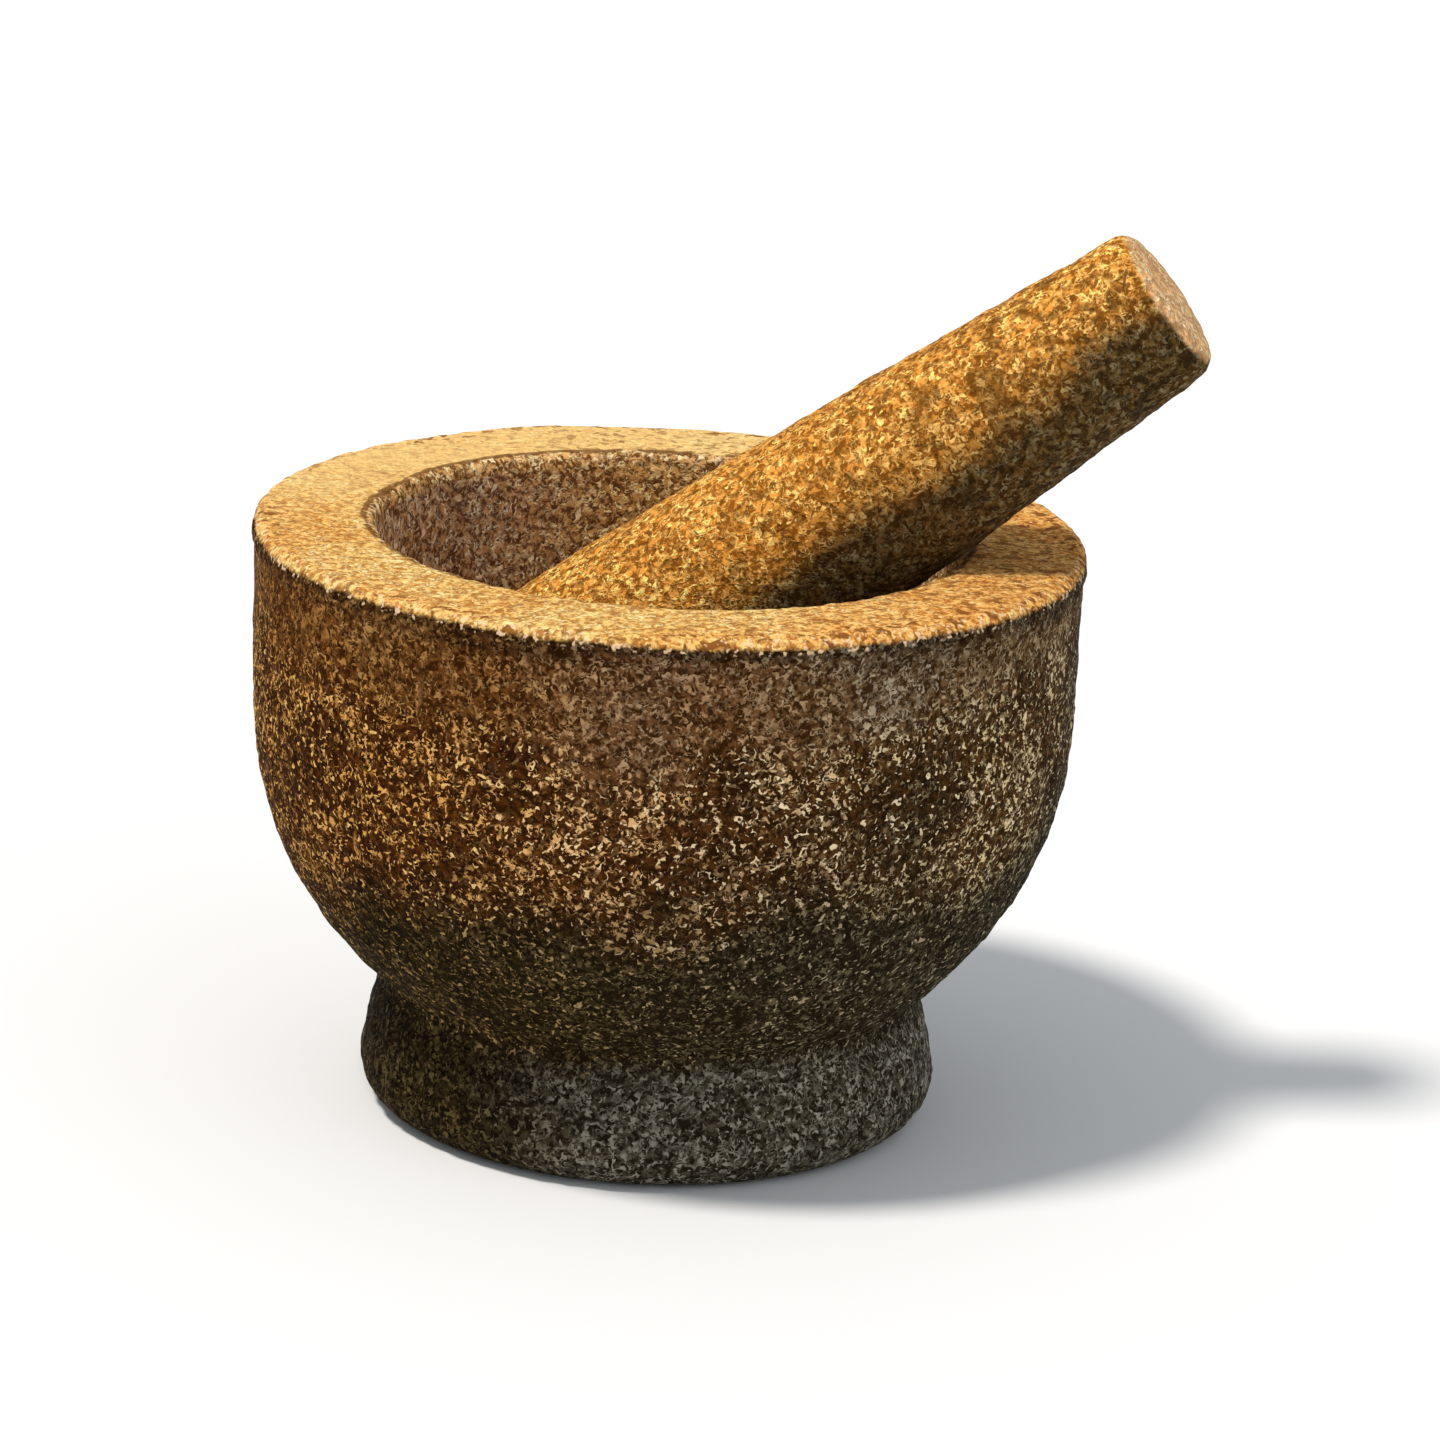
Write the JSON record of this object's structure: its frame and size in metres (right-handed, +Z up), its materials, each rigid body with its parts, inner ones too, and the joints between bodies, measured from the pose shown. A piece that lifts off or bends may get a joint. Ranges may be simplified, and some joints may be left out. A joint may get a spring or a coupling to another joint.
{
  "type": "molcajete",
  "caption": "Round footed stone mortar with a thick flat rim and a deep rounded cavity, and a loose tapered stone pestle that leans across its mouth.",
  "frame": {"origin": "centre of the mortar's flat base, where it stands on a table", "axes": "+Z up along the mortar's axis, +X towards the side that the pestle's handle leans over, +Y to the back"},
  "size_m": [0.1739, 0.155, 0.1734],
  "materials": {
    "mortar_stone": "pecked dark granite with pale flecks, honed on the rim",
    "pestle_stone": "dressed granite, worn smoother where it is held"
  },
  "bodies": {
    "mortar": {"mortar": "mortar_stone"},
    "pestle": {"pestle": "pestle_stone"}
  },
  "joints": [
    {"name": "pestle_lift", "type": "slide", "parent": "mortar", "child": "pestle", "axis": [0, 0, 1], "range_m": [0, 0.09]}
  ]
}
